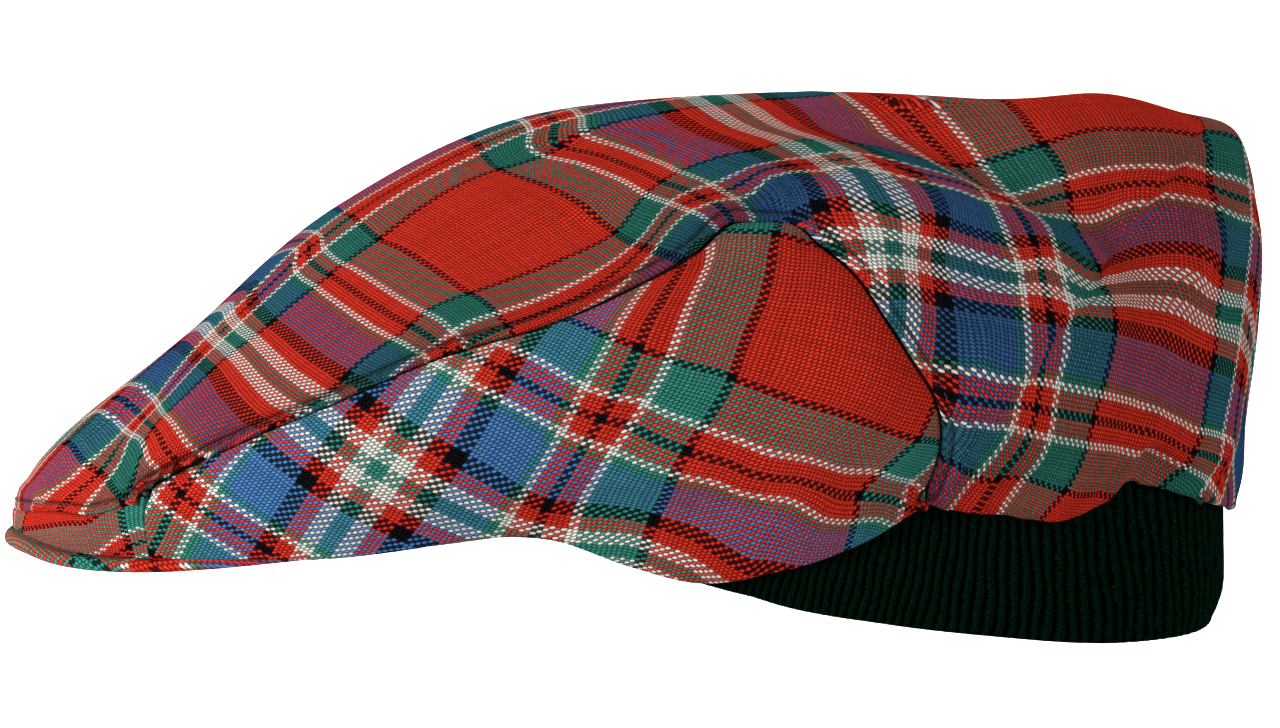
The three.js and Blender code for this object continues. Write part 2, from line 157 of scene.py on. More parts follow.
# Folds: width, height (a valley below zero) and three places, each an azimuth and a level
folds = [
    (12, 3.5, (77.8, 0.375), (79.5, 0.49), (87, 0.558)),  # shoulder roll, rising
    (12, 4.5, (86, 0.558), (106, 0.472), (127.7, 0.245)),  # shoulder roll
    (11, -5, (100, 0.66), (112, 0.49), (133, 0.287)),  # valley behind the roll
    (24, 4, (142, 0.66), (134, 0.42), (141, 0.26)),  # pouch at the back
    (22, 3, (88, 0.36), (97, 0.25), (103, 0.16)),  # side bulge
    (20, 3, (112, 0.3), (120, 0.16), (122, 0.08)),  # bulge behind the seam
    (14, -3, (152, 0.245), (141, 0.16), (135, 0.1)),  # slack at the back
    (7, -2.6, (135.5, 0), (137, 0.038), (142, 0.034)),  # gather pocket
    (6, 2.5, (133.5, 0.02), (133.5, 0.082), (144, 0.068)),  # gather ridge
    (7, -2, (117, 0), (117, 0.05), (120, 0.09)),  # between gathered lobes
    (8, -2.5, (77, 0.048), (84, 0.053), (90, 0.02)),  # ear valley
    (7, 1.5, (77.5, 0.01), (83, 0.027), (89, 0.008)),  # ear roll
    (9, 2, (85, 0.11), (92, 0.085), (103, 0.03)),  # pucker over the ear
    (7, -1.5, (85, 0.075), (92, 0.055), (99, 0.015)),  # pucker shadow
    (14, 2.2, (41, 0.13), (39.5, 0.26), (44, 0.42)),  # front shoulder
    (13, -1.1, (136, 0.77), (158, 0.8), (-158, 0.8)),  # dips and rises over the back
    (8, 1.4, (142, 0.7), (166, 0.722), (-166, 0.72)),
    (7.5, -1.1, (146, 0.6), (170, 0.62), (-168, 0.61)),
    (8, 1.4, (150, 0.5), (170, 0.522), (-170, 0.52)),
    (10, -1.3, (152, 0.37), (170, 0.375), (-170, 0.37)),
    (12, 0.8, (154, 0.23), (170, 0.225), (-170, 0.22)),
    (9, -2, (157, 0.085), (170, 0.09), (-170, 0.09)),
    # Smaller creases that only the cloth's looks need
    (3.2, -2.6, (83, 0.47), (86, 0.463), (90.5, 0.47)),  # tuck over the seam's top
    (5.5, 1.8, (100, 0.575), (111, 0.46), (125, 0.29)),  # sharper edge of the shoulder roll
    (5, -2.6, (107.3, 0.617), (117, 0.47), (129, 0.31)),
    (3, -1.2, (118.6, 0), (119, 0.04), (121, 0.075)),
    (24, 0.75, (180, 0.97), (180, 0.7), (180, 0.4)),  # fuller back and nose
    (17, 1.15, (0, -0.04), (0, 0.11), (0, 0.36)),
    (2.6, -0.9, (80.5, 0.455), (83.5, 0.475), (85.5, 0.51)),
    (2.6, -0.8, (89, 0.465), (91.5, 0.49), (93, 0.525)),
    (2.8, 0.9, (81.5, 0.425), (84.5, 0.49), (88.5, 0.515)),
    (3.5, -0.8, (78.3, 0.41), (79.5, 0.43), (80.5, 0.47)),
    (4.5, -0.9, (42.5, 0.135), (46.5, 0.17), (50, 0.205)),  # along the front of the seam
    (4, -0.8, (60, 0.29), (66, 0.315), (72, 0.34)),
    (4, 0.7, (111, 0.14), (114, 0.08), (114.5, 0.01)),  # gathers at the back hem
    (3.4, -1.0, (112.2, 0), (112.6, 0.05), (112, 0.1)),
    (3.4, -0.9, (121.5, 0), (121, 0.04), (122, 0.075)),
    (3.6, 0.8, (124.5, 0), (125, 0.04), (127.5, 0.08)),
    (3.2, -0.8, (129.5, 0), (130, 0.03), (131, 0.06)),
    (4.5, 0.8, (146, 0.02), (150, 0.06), (158, 0.09)),
    (4, -0.8, (147, 0.0), (152, 0.035), (162, 0.05)),
    (4, 0.7, (165, 0.0), (166, 0.04), (168, 0.1)),
    (4, -0.7, (172, 0.0), (173, 0.04), (176, 0.09)),
    (5, -0.9, (96, 0.12), (101, 0.075), (105.5, 0.05)),  # drag lines over the ear
    (5, 0.8, (95, 0.145), (101, 0.105), (107, 0.075)),
    (4, -0.8, (104, 0.03), (106, 0.05), (107.5, 0.08)),
    (5.5, -1.7, (77.5, 0.045), (83, 0.058), (88.5, 0.085)),  # pull above the hem under the ear
    (4.5, 1.3, (78, 0.018), (83, 0.034), (89, 0.018)),
    (6, 0.9, (82, 0.1), (87.5, 0.12), (92, 0.13)),
    (5, 1.3, (-22, 0.03), (0, 0.028), (22, 0.03)),  # roll along the front band
    (4, 0.9, (20, 0.02), (28, 0.028), (40, 0.05)),
    (3.5, -0.9, (10, 0.035), (26, 0.045), (38, 0.062)),
]

foldShape = {"endShare": 0.35, "seamDip": -1.6, "seamWidth": 5}
seamLine = smoothPath(sideSeam, 60)


def clothLift(place):
    half = np.stack([np.abs(place[..., 0]), place[..., 1]], -1)
    far, _ = nearestOn(seamLine, half)
    lift = foldShape["seamDip"] * np.exp(-(far / foldShape["seamWidth"])**2)
    for width, height, *three in folds:
        far, along = nearestOn(smoothPath(three, 16), half)
        taper = foldShape["endShare"] + (1 - foldShape["endShare"]) * np.sin(np.pi * along)
        lift = lift + height * taper * np.exp(-(far / width)**2)
    return lift


def crownCloth(place):
    return smoothCrown(place) + outwardAt(smoothCrown, place) * clothLift(place)[..., None]


# Crown panels: the gap at the seams, the rolled edges and the swelling beside the seams
panels = {"gap": 1.8, "rollRadius": 1.0, "rollAngles": [20, 42, 66, 92, 120, 150], "cloth": 0.5,
          "swell": 0.9, "swellPlace": 3.4, "swellWidth": 2.2, "dip": 0.8, "dipWidth": 2.5,
          "seamSteps": 400, "far": 20}
coarse = {"seam": 30, "hem": 13, "across": 28, "ease": 5, "sideUp": 8, "bandUp": 4}  # chart's steps
topFine, sideFine, bandFine = ((5, 6, 5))
halfGap = panels["gap"] / 2


# Panels are grids of disc places, with k times the coarse chart's steps. The seams are moved into
# the top panel by some millimetres, or out of it below zero.
def seamMoved(steps, into):
    path = smoothPath(sideSeam, steps)
    along = unit(np.gradient(path, axis=0))
    return path + np.stack([-along[:, 1], along[:, 0]], -1) * into / reach


def frontSeamPlace(share, into):
    azimuth = frontSeam["azimuth"][-1] * share
    level = curveAt(frontSeam["azimuth"], frontSeam["level"], np.abs(azimuth))
    return discPoint(azimuth, level + into / reach)


def between(low, high, steps):  # a grid from one line of places to another
    share = np.linspace(0, 1, steps + 1)[None, :, None]
    return low[:, None] * (1 - share) + high[:, None] * share


def topPanelGrid(k):
    low = np.linspace(corners["sideHem"] + corners["clear"], corners["back"], coarse["hem"] * k + 1)
    edge = np.concatenate([seamMoved(coarse["seam"] * k, halfGap), discPoint(low, 0 * low)])
    across = np.linspace(-1, 1, coarse["across"] * k + 1)
    down = np.linspace(0, 1, len(edge))[:, None]
    middle = frontSeamPlace(0.0, halfGap)[1] * (1 - down) + down
    place = np.stack([edge[:, :1] * across, middle + (edge[:, 1:] - middle) * across**2], -1)
    ease = np.maximum(0, 1 - np.arange(len(edge)) / (coarse["ease"] * k))[:, None, None]
    place += (frontSeamPlace(across, halfGap) - place[0]) * ease
    size = np.linalg.norm(place, axis=-1, keepdims=True)
    size[:-1] = np.maximum(size[:-1], 1)
    return place / size


def sidePanelGrid(k):
    azimuth = np.linspace(corners["frontHem"], corners["sideHem"], coarse["seam"] * k + 1)
    return between(discPoint(azimuth, 0 * azimuth), seamMoved(coarse["seam"] * k, -halfGap),
                   coarse["sideUp"] * k)


def frontBandGrid(k):
    across = np.linspace(-1, 1, coarse["across"] * k + 1)
    low = discPoint((corners["frontHem"] - corners["clear"]) * across, 0 * across)
    return between(low, frontSeamPlace(across * 0.99, -halfGap), coarse["bandUp"] * k)


# Threads of the tartan: how they are laid on the panels
threadPitch = 0.89  # millimetres from thread to thread
charting = {"rounds": 60, "pinWeight": 2.0, "ease": 0.0005, "pinSteps": 12}


def cornerShares(r, s, shape):  # the four grid corners round a place between them, and their shares
    i, j = min(int(r), shape[0] - 2), min(int(s), shape[1] - 2)
    return [((i + m, j + n), abs(1 - m - r + i) * abs(1 - n - s + j)) for m in (0, 1) for n in (0, 1)]


# Lays the cloth out flat with as little stretch as it can, and its pinned places on their threads
def layFlat(points, pins, threads, flat):
    rows, columns = points.shape[:2]
    index = np.arange(rows * columns).reshape(rows, columns)
    a, b, c, d = index[:-1, :-1], index[:-1, 1:], index[1:, 1:], index[1:, :-1]
    faces = np.concatenate([np.stack(f, -1).reshape(-1, 3)
                            for f in ((a, b, c), (a, c, d), (a, b, d), (b, c, d))])
    first, second, third = points.reshape(-1, 3)[faces].transpose(1, 0, 2)
    flat = flat.reshape(-1, 2)
    length = np.linalg.norm(second - first, axis=1)
    g = flat[faces]
    turn = np.cross(g[:, 1] - g[:, 0], g[:, 2] - g[:, 0]).sum()
    own = np.zeros((len(faces), 3, 2))  # each face laid flat by itself
    own[:, 1, 0] = length
    own[:, 2, 0] = ((third - first) * (second - first)).sum(1) / length
    height = np.linalg.norm(np.cross(second - first, third - first), axis=1) / length
    own[:, 2, 1] = height * np.sign(turn)
    pull = np.zeros((index.size, index.size))
    edges = []
    for i, j, k in ((0, 1, 2), (1, 2, 0), (2, 0, 1)):
        p, q = own[:, i] - own[:, k], own[:, j] - own[:, k]
        slope = (p * q).sum(1) / np.maximum(np.abs(np.cross(p, q)), 1e-6)
        w = 0.25 * np.clip(slope, 0.02, 20)
        edges.append((i, j, w[:, None], own[:, i] - own[:, j]))
        for m, n, sign in ((i, i, 1), (j, j, 1), (i, j, -1), (j, i, -1)):
            np.add.at(pull, (faces[:, m], faces[:, n]), sign * w)
    hold = np.zeros((len(pins), index.size))
    for n, pin in enumerate(pins):
        for corner, share in cornerShares(*pin, (rows, columns)):
            hold[n, index[corner]] = share
    weight = charting["pinWeight"]
    solver = np.linalg.inv(pull + weight * hold.T @ hold + 1e-9 * np.eye(index.size))
    held = weight * hold.T @ (threads * threadPitch)
    for _ in range(charting["rounds"]):
        g = flat[faces]
        spread = sum((w * (g[:, i] - g[:, j]))[:, :, None] * e[:, None] for i, j, w, e in edges)
        angle = np.arctan2(spread[:, 1, 0] - spread[:, 0, 1], spread[:, 0, 0] + spread[:, 1, 1])
        cosine, sine = np.cos(angle), np.sin(angle)
        total = held.copy()
        for i, j, w, e in edges:
            x, y = e.T
            moved = np.stack([cosine * x - sine * y, sine * x + cosine * y], -1) * w
            np.add.at(total, faces[:, i], moved)
            np.add.at(total, faces[:, j], -moved)
        flat = solver @ total
    return flat.reshape(rows, columns, 2) / threadPitch


# Row and column of each pin in the coarse grid, by Newton steps from the nearest corner
def pinRows(grid, places):
    last = np.array(grid.shape[:2]) - 1
    found = []
    for place in places:
        gap = np.linalg.norm(grid - place, axis=-1)
        at = np.array(np.unravel_index(np.argmin(gap), gap.shape), float)
        for _ in range(charting["pinSteps"]):
            i, j = np.minimum(at.astype(int), last - 1)
            fr, fs = at - (i, j)
            (low, lowNext), (high, highNext) = grid[i:i + 2, j:j + 2]
            here = (low * (1 - fs) + lowNext * fs) * (1 - fr) + (high * (1 - fs) + highNext * fs) * fr
            byRow = (high - low) * (1 - fs) + (highNext - lowNext) * fs
            byColumn = (lowNext - low) * (1 - fr) + (highNext - high) * fr
            step = np.linalg.lstsq(np.stack([byRow, byColumn], -1), place - here, rcond=None)[0]
            at = np.clip(at + np.clip(step, -1, 1), 0, last)
        found.append(at)
    return found


def closestTurn(flat, threads, side):  # how flat places turn, scale and shift onto their threads
    m, q = (flat - flat.mean(0)) * [1, side], threads - threads.mean(0)
    c, s = (m * q).sum(), (m[:, 0] * q[:, 1] - m[:, 1] * q[:, 0]).sum()
    turn = np.array([[c, -s], [s, c]]) / (m**2).sum()
    return lambda spots: (spots - flat.mean(0)) * [1, side] @ turn.T + threads.mean(0)


def smoothShift(places, shifts, ease):  # thin-plate surface near scattered shifts
    def bend(spots):
        gap = np.linalg.norm(spots[:, None] - places[None], axis=-1)
        return gap**2 * np.log(np.maximum(gap, 1e-9))
    count = len(places)
    plane = np.concatenate([np.ones((count, 1)), places], 1)
    whole = np.block([[bend(places) + ease * np.eye(count), plane], [plane.T, np.zeros((3, 3))]])
    weights = np.linalg.solve(whole, np.concatenate([shifts, np.zeros((3, 2))]))
    return lambda spots: bend(spots) @ weights[:count] + weights[count] + spots @ weights[count + 1:]


def chartPanel(grid, pinTable, side):
    pins = np.array([(*spot, thread, other) if n == 0 else (*spot, other, thread)
                     for n, lines in enumerate(pinTable) for thread, flatSpots in lines.items()
                     for *spot, other in np.reshape(flatSpots, (-1, 3))])
    places, threads = discPoint(pins[:, 0], pins[:, 1]), pins[:, 2:]
    spots = pinRows(grid, places)
    guess = closestTurn(places * reach, threads * threadPitch, side)(grid * reach)
    flat = layFlat(crownCloth(grid), spots, threads, guess)
    missed = [wanted - sum(flat[corner] * share for corner, share in cornerShares(*spot, flat.shape))
              for spot, wanted in zip(spots, threads)]
    return flat, smoothShift(places, np.array(missed), charting["ease"])


# Where threads lie on each panel. A first table counts threads one way and a second the other way:
# each thread has azimuth, level and the crossing thread's count in turn.
topPins = (
    {-176: [151.1, 0.532, 22, 142.5, 0.422, 42, 146.5, 0.284, 65, 147.5, 0.248, 73, 148.3, 0.203, 81,
     148, 0.165, 89, 145.6, 0.095, 106, 143.6, 0.067, 112, 143.9, 0.043, 118], -154: [131.1, 0.289,
     77, 135.4, 0.212, 89, 134, 0.13, 106, 132.8, 0.108, 112], -132: [127, 0.731, 0, 119.3, 0.572, 22,
     120.5, 0.472, 42, 121.3, 0.393, 54, 122, 0.333, 65, 125.1, 0.286, 80, 126.3, 0.25, 89, 125.9,
     0.165, 106, 125.4, 0.137, 112, 125.4, 0.106, 118, 123.8, 0.049, 132, 121.5, 0.664, 8.6, 119.4,
     0.609, 16.4], -118: [116.2, 0.805, 0, 111.3, 0.577, 22, 117.3, 0.348, 73, 118.6, 0.304, 81,
     119.9, 0.261, 91, 119.9, 0.184, 106, 120.3, 0.12, 118, 119.4, 0.057, 131, 117.5, 0, 146, 110.1,
     0.693, 4.5, 110.2, 0.635, 12.4], -112: [105.9, 0.812, -8.8, 104.5, 0.723, -0.9, 105.3, 0.666,
     6.2, 106.7, 0.62, 13.9], -106: [94.1, 0.823, -21, 99.6, 0.643, 8, 110.1, 0.445, 48, 111.9, 0.386,
     65, 113.4, 0.345, 73, 114.4, 0.285, 89, 115.7, 0.196, 106, 115.5, 0.134, 118, 113.5, 0.093, 127,
     112.9, 0.053, 133, 111.6, 0.003, 143, 94.1, 0.835, -21.7, 96.4, 0.761, -10.9, 97.8, 0.723, -5.2,
     98.8, 0.697, -1, 101.2, 0.635, 10.1], -97: [111.2, 0.263, 97, 111.6, 0.111, 125, 110.3, 0.088,
     132], -48: [56.3, 0.691, -22], -36: [56.4, 0.624, -22], -29: [50.1, 0.641, -29], -21: [73, 0.424,
     21], 21: [62.4, 0.361, 21], 106: [26.4, 0.297, -57, 38.7, 0.223, -24, 44.7, 0.164, 0],
     118: [28.9, 0.234, -57, 37.8, 0.187, -24], 132: [37.5, 0.101, -29]},
    {-57: [27.7, 0.205, 125], -48: [27, 0.574, 23, 25.7, 0.522, 48, 26.9, 0.472, 60, 34.9, 0.255, 106,
     33.3, 0.21, 118, 29.8, 0.152, 132, 29.1, 0.129, 136, 27.3, 0.097, 143, 24.2, 0.072, 151.4, 20.3,
     0.057, 160], -42: [33.5, 0.132, 132, 32.2, 0.103, 138, 30.3, 0.076, 145, 28.6, 0.064, 150],
     -36: [37.2, 0.536, 23, 35.7, 0.5, 36, 36.6, 0.161, 123, 35.6, 0.12, 131.5, 35.2, 0.096, 136, 33.7,
     0.075, 142], -29: [40.7, 0.495, 29], -24: [52.8, 0.675, -42], -21.5: [43.8, 0.452, 36, 43.8,
     0.433, 42, 43.1, 0.417, 48, 42.7, 0.355, 65, 42.2, 0.335, 73, 41.7, 0.323, 77, 41.3, 0.309, 81,
     40.9, 0.286, 89], -21: [46.1, 0.488, 21, 51.8, 0.605, -21], 21.5: [59, 0.34, 36, 58.6, 0.32, 42,
     57.8, 0.304, 48, 55.4, 0.257, 65, 54.3, 0.233, 73, 53.7, 0.225, 77, 53.2, 0.212, 81, 51.8, 0.193,
     89], 22: [74.9, 0.478, -36, 75.8, 0.501, -42, 77.3, 0.514, -48, 83.9, 0.549, -65, 132.7, 0.573,
     -154, 117.5, 0.568, -129, 114.3, 0.572, -123.3], 29: [75.7, 0.432, -29, 62.1, 0.341, 29, 58,
     0.273, 57, 87.9, 0.557, -73, 90.4, 0.566, -77, 81.8, 0.516, -57], 36: [89.6, 0.532, -73, 81.3,
     0.481, -48, 143.8, 0.444, -176, 130.2, 0.484, -154, 97.9, 0.547, -87.5, 102.1, 0.528, -93.1,
     105.7, 0.515, -99.4, 121.9, 0.487, -136.1, 124.6, 0.494, -142.7, 127.4, 0.492, -148.5, 134.3,
     0.479, -160.8, 138.2, 0.466, -166.9, 150.1, 0.432, -181.6], 42: [123, 0.465, -139, 126.5, 0.461,
     -149.2, 129.7, 0.458, -155.2, 133.1, 0.45, -160.9, 138.3, 0.435, -169, 157.1, 0.378, -188.7],
     48: [79.5, 0.448, -36, 77.4, 0.397, -23, 143, 0.386, -176, 127.9, 0.432, -154, 97, 0.512, -80.8,
     99.4, 0.502, -84, 101.8, 0.492, -87.5, 104.1, 0.483, -91.7, 106.3, 0.473, -96.1, 108.6, 0.461,
     -101.7, 124.7, 0.428, -144.5, 131.3, 0.423, -158.8, 135.8, 0.408, -165.7, 158.8, 0.34, -191.2],
     57: [80.1, 0.415, -29, 87.7, 0.484, -57, 90.2, 0.489, -65, 94, 0.497, -73, 107.8, 0.442, -97],
     65: [91.2, 0.451, -65, 103.5, 0.421, -85, 130.8, 0.345, -154, 126.9, 0.338, -144.5, 131.2, 0.343,
     -155.2, 135.8, 0.338, -164.2, 143.4, 0.305, -172.9], 73: [124.4, 0.313, -135, 129, 0.31, -148.6,
     134, 0.304, -160.4, 138.4, 0.29, -165.3, 156.6, 0.221, -191], 77: [99.9, 0.385, -77, 106.1,
     0.362, -93], 89: [102.6, 0.322, -81], 106: [150.5, 0.089, -190, 106.7, 0.222, -89], 112: [155,
     0.053, -196, 107.9, 0.185, -89], 118: [150.9, 0.024, -190, 130.9, 0.087, -150, 109.4, 0.143,
     -93]},
)
sidePins = (
    {-112: [45.2, 0.092, 112], -97: [52.5, 0.102, 97], -57: [72.7, 0.274, 29], -48: [77.5, 0.351, 0,
     76.2, 0.28, 21], -42: [80.2, 0.372, -9, 78.5, 0.287, 17, 74.9, 0.062, 62], -36: [79.8, 0.187, 37,
     81.1, 0.257, 19, 81.9, 0.343, -2, 82.2, 0.408, -17], -29: [83, 0.204, 29], -22: [82.2, 0.056, 63,
     84.1, 0.155, 38.4, 83.3, 0.112, 47.8, 82.9, 0.083, 55.2], -21.5: [86.1, 0.225, 21.5, 87.8, 0.398,
     -19, 87.7, 0.334, -7, 86.6, 0.265, 10, 83.8, 0.138, 42, 83, 0.111, 48], 21.5: [105.2, 0.128,
     22.5, 101.7, 0.1, 36, 99.9, 0.01, 57]},
    {21.5: [92.3, 0.194, -7, 96, 0.182, 0, 99.9, 0.163, 9, 102.8, 0.146, 16], 36: [75.1, 0.213, -48,
     105.8, 0.067, 36, 96.7, 0.114, 10, 92.7, 0.132, 0], 42: [77, 0.17, -42, 99.7, 0.076, 21.5, 105.8,
     0.023, 36, 96.3, 0.094, 10, 91, 0.109, -3], 48: [99.9, 0.04, 21.5, 96.5, 0.055, 12, 91.9, 0.088,
     0, 87.8, 0.096, -9.3, 85.4, 0.11, -15.8], 57: [70.8, 0.136, -57, 80, 0.082, -29], 65: [83.6,
     0.048, -17.9, 85.1, 0.046, -13.8, 86.5, 0.037, -9.8, 87.6, 0.029, -6.3, 89.1, 0.014, -1.8],
     73: [81, 0.028, -24.5, 82.6, 0.027, -20, 84.4, 0.024, -14.6, 86, 0.015, -10], 77: [61.4, 0.116, -77,
     80.6, 0.014, -25.3, 82.8, 0.012, -19, 84.2, 0.007, -14.4]},
)


def fineThreads(chart, grid, rowsAt, columnsAt):
    flat, shift = chart
    down = curveAt(np.arange(flat.shape[0]), flat, rowsAt)
    across = curveAt(np.arange(flat.shape[1]), down.transpose(1, 0, 2), columnsAt)
    return across.transpose(1, 0, 2) + shift(grid.reshape(-1, 2)).reshape(grid.shape)


def edgeOut(points, normals, axis, end):  # direction off the panel at one end of its rows or columns
    rim = np.take(points, end, axis)
    inner = np.take(points, 1 if end == 0 else -2, axis)
    out = unit(np.cross(np.take(normals, end, axis), np.gradient(rim, axis=0)))
    return out * np.sign(((rim - inner) * out).sum(-1, keepdims=True))


# Cloth turned under round the rim of a panel, as its seam allowance is
def rolledPanel(points, threads):
    normals = unit(np.cross(np.gradient(points, axis=0), np.gradient(points, axis=1)))
    normals = normals * np.sign(((points - headCentre) * normals).sum())
    rows, columns = points.shape[:2]
    m = len(panels["rollAngles"])
    i, j = np.mgrid[-m:rows + m, -m:columns + m]
    base = (np.clip(i, 0, rows - 1), np.clip(j, 0, columns - 1))
    over = np.abs(np.stack([i - base[0], j - base[1]]))
    ends = np.zeros((2, rows, columns, 3))
    slopes = np.zeros((2,) + threads.shape)
    for end in (0, -1):
        step = 1 if end == 0 else -2
        for axis in (0, 1):
            rim, inner = (np.take(points, n, axis) for n in (end, step))
            change = np.take(threads, end, axis) - np.take(threads, step, axis)
            length = np.linalg.norm(rim - inner, axis=-1, keepdims=True)
            where = (axis, end) if axis == 0 else (axis, slice(None), end)
            ends[where] = edgeOut(points, normals, axis, end)
            slopes[where] = change / np.maximum(length, 0.2)
    share = over / np.maximum(np.linalg.norm(over, axis=0), 1)
    out = unit(sum(ends[n][base] * share[n][..., None] for n in (0, 1)) + 1e-12)
    slope = sum(slopes[n][base] * share[n][..., None] for n in (0, 1))
    turn = np.radians([0, *panels["rollAngles"]])[over.max(0)][..., None]
    radius = panels["rollRadius"]
    rolled = points[base] + radius * np.sin(turn) * out - radius * (1 - np.cos(turn)) * normals[base]
    return rolled, threads[base] + slope * radius * turn


def linked(name, data):
    made = bpy.data.objects.new(name, data)
    bpy.context.collection.objects.link(made)
    return made


def clothObject(name, points, threads, closed=False, caps=(), fromSeam=None):
    rows, columns = points.shape[:2]
    index = np.arange(rows * columns).reshape(rows, columns)
    ends = [index[-1].tolist() if end else index[0][::-1].tolist() for end in caps]
    if closed:
        index = np.concatenate([index, index[:, :1]], 1)
    quads = np.stack([index[:-1, :-1], index[:-1, 1:], index[1:, 1:], index[1:, :-1]], -1).reshape(-1, 4)
    mesh = bpy.data.meshes.new(name)
    mesh.from_pydata((points.reshape(-1, 3) / 1000).tolist(), [], quads.tolist() + ends)
    mesh.polygons.foreach_set("use_smooth", [True] * len(quads) + [False] * len(ends))
    layer = mesh.uv_layers.new(name="threads")
    order = np.zeros(len(mesh.loops), int)
    mesh.loops.foreach_get("vertex_index", order)
    layer.data.foreach_set("uv", threads.reshape(-1, 2)[order].ravel())
    if fromSeam is not None:
        mesh.attributes.new("fromSeam", "FLOAT", "POINT").data.foreach_set("value", fromSeam.ravel())
    return linked(name, mesh)


def selectOnly(made):
    for other in bpy.context.selected_objects:
        other.select_set(False)
    bpy.context.view_layer.objects.active = made
    made.select_set(True)


def finishCloth(made, thickness):  # faces an open sheet outwards and gives it its thickness
    mesh, centre = made.data, Vector(headCentre) / 1000
    if sum((face.center - centre).dot(face.normal) * face.area for face in mesh.polygons) < 0:
        mesh.flip_normals()
    solidify = made.modifiers.new("Thickness", "SOLIDIFY")
    solidify.thickness = thickness / 1000
    solidify.offset = -1
    selectOnly(made)
    bpy.ops.object.modifier_apply(modifier="Thickness")
    made.select_set(False)
    return made


def turnOutwards(made):  # faces a closed piece outwards
    selectOnly(made)
    bpy.ops.object.mode_set(mode="EDIT")
    bpy.ops.mesh.select_all(action="SELECT")
    bpy.ops.mesh.normals_make_consistent(inside=False)
    bpy.ops.object.mode_set(mode="OBJECT")
    made.select_set(False)
    return made


topChart = chartPanel(topPanelGrid(1), topPins, 1)
sideChart = chartPanel(sidePanelGrid(1), sidePins, -1)
print("tartan laid out")


def seamPlaces(offset):  # one side's seam and the front seam, this far into the top panel
    into = halfGap + offset
    steps = panels["seamSteps"]
    return seamMoved(steps, into), frontSeamPlace(np.linspace(-1, 1, steps), into)


def seamDistance(points):  # millimetres from the nearest seam, up to a far one
    side, front = (crownCloth(line) for line in seamPlaces(0))
    edges = np.concatenate([side, side * mirror, front])
    parts = np.array_split(points.reshape(-1, 3), points.size // 12000 + 1)
    near = [np.linalg.norm(part[:, None] - edges, axis=-1).min(1) for part in parts]
    return np.minimum(np.concatenate(near), panels["far"]).reshape(points.shape[:-1])


def swellAt(near):
    return panels["swell"] * np.exp(-((near - panels["swellPlace"]) / panels["swellWidth"])**2)


def crownPanel(name, grid, threads, mirrored=False, onTop=False):
    points = crownCloth(grid)
    near = seamDistance(points)
    # the top panel swells beside its seams and the side panels dip under it
    swell = swellAt(near) if onTop else -panels["dip"] * np.exp(-(near / panels["dipWidth"])**2)
    points = points + outwardAt(crownCloth, grid) * swell[..., None]
    if mirrored:
        points = points * mirror
    away = near if onTop else 0 * near + panels["far"]
    points, channels = rolledPanel(points, np.concatenate([threads, away[..., None]], -1))
    sheet = clothObject(name, points, channels[..., :2], fromSeam=channels[..., 2])
    return finishCloth(sheet, panels["cloth"])


def shares(count, k):
    return np.arange(coarse[count] * k + 1) / k


topGrid, sideGrid = topPanelGrid(topFine), sidePanelGrid(sideFine)
topRows = np.concatenate([shares("seam", topFine), coarse["seam"] + 1 + shares("hem", topFine)])
topThreads = fineThreads(topChart, topGrid, topRows, shares("across", topFine))
sideThreads = fineThreads(sideChart, sideGrid, shares("seam", sideFine), shares("sideUp", sideFine))
topPanel = crownPanel("topPanel", topGrid, topThreads, onTop=True)
sidePanelLeft = crownPanel("sidePanelLeft", sideGrid, sideThreads)
sidePanelRight = crownPanel("sidePanelRight", sideGrid, sideThreads, mirrored=True)
print("crown panels made")

# Topstitching along the seams, in dark thread, each stitch a short capsule sunk into the cloth
stitching = {"offset": 1.5, "length": 2.2, "gap": 0.8, "radius": 0.17, "sides": 6, "rings": 7,
             "proud": 0.05, "sink": 0.45}


def stitchRow(path, outward):
    along = pathLengths(path)
    pitch = stitching["length"] + stitching["gap"]
    share = np.linspace(0, 1, stitching["rings"])
    at = (np.arange(int(along[-1] / pitch)) * pitch)[:, None] + share * stitching["length"]
    middle, up = (np.stack([np.interp(at, along, line[:, axis]) for axis in range(3)], -1)
                  for line in (path, outward))
    up = unit(up)
    sink = stitching["proud"] - stitching["sink"] * (2 * share - 1)**4
    middle = middle + up * sink[None, :, None]
    aside = unit(np.cross(unit(np.gradient(middle, axis=1)), up))
    radius = stitching["radius"] * np.sqrt(np.maximum(1 - (2 * share - 1)**6, 0.02))
    turn = np.linspace(0, 2 * np.pi, stitching["sides"] + 1)[:-1, None]
    ring = np.cos(turn) * aside[:, :, None] + np.sin(turn) * up[:, :, None]
    return middle[:, :, None] + ring * radius[None, :, None, None]


def makeStitches():
    lines = []
    for place in seamPlaces(stitching["offset"]):
        up = outwardAt(crownCloth, place)
        lines.append(np.stack([crownCloth(place) + up * swellAt(stitching["offset"]), up]))
    side, front = lines
    vertices, faces, count = [], [], 0
    for stitch in np.concatenate([stitchRow(*line) for line in (side, side * mirror, front)]):
        vertices.append(stitch.reshape(-1, 3))
        index = count + np.arange(stitch.size // 3).reshape(stitch.shape[:2])
        after = np.roll(index, -1, axis=1)
        faces += np.stack([index[:-1], after[:-1], after[1:], index[1:]], -1).reshape(-1, 4).tolist()
        faces += [index[0][::-1].tolist(), index[-1].tolist()]
        count += index.size
    mesh = bpy.data.meshes.new("seamStitches")
    mesh.from_pydata((np.concatenate(vertices) / 1000).tolist(), [], faces)
    mesh.polygons.foreach_set("use_smooth", [True] * len(faces))
    return turnOutwards(linked("seamStitches", mesh))


seamStitches = makeStitches()
print("stitches made")

